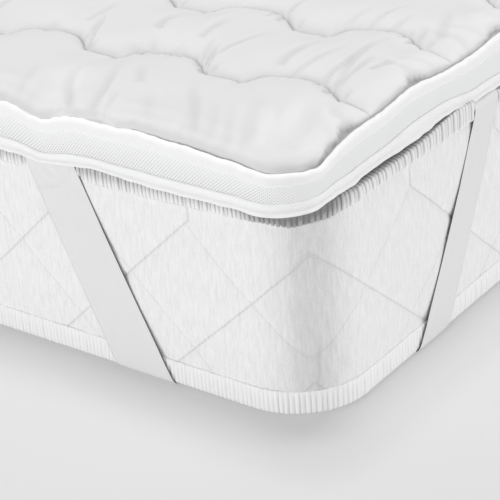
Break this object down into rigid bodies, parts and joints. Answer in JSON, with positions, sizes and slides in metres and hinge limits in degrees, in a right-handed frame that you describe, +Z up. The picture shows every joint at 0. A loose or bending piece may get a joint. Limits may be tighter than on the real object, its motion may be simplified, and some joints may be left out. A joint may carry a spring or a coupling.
{
  "type": "mattress topper on a mattress",
  "caption": "Thin quilted mattress topper with wavy sewn channels, a mesh border and elastic corner straps, fitted over a plain rectangular mattress with taped edges.",
  "frame": {"origin": "middle of the underside of the whole part, on the surface that it lies on", "axes": "+Z up; +Y along the mattress, from the pictured end towards the other end; +X across the width, towards the long side that shows in the picture"},
  "size_m": [0.9158, 2.0224, 0.2332],
  "materials": {
    "quilted_cover": "matte, fine smooth weave over filling",
    "spacer_mesh": "matte knitted spacer mesh with small holes",
    "white_tape": "soft sheen, folded binding tape",
    "mattress_cover": "matte vertical knit",
    "mattress_tape": "ribbed binding tape",
    "elastic": "smooth woven elastic"
  },
  "bodies": {
    "root": {"topper_pad": "quilted_cover", "topper_border": "spacer_mesh", "topper_tape_upper": "white_tape", "topper_tape_lower": "white_tape", "strap_front_right": "elastic", "strap_back_right": "elastic", "strap_back_left": "elastic", "strap_front_left": "elastic", "mattress_core": "mattress_cover", "mattress_tape_top": "mattress_tape", "mattress_tape_bottom": "mattress_tape"}
  },
  "joints": []
}
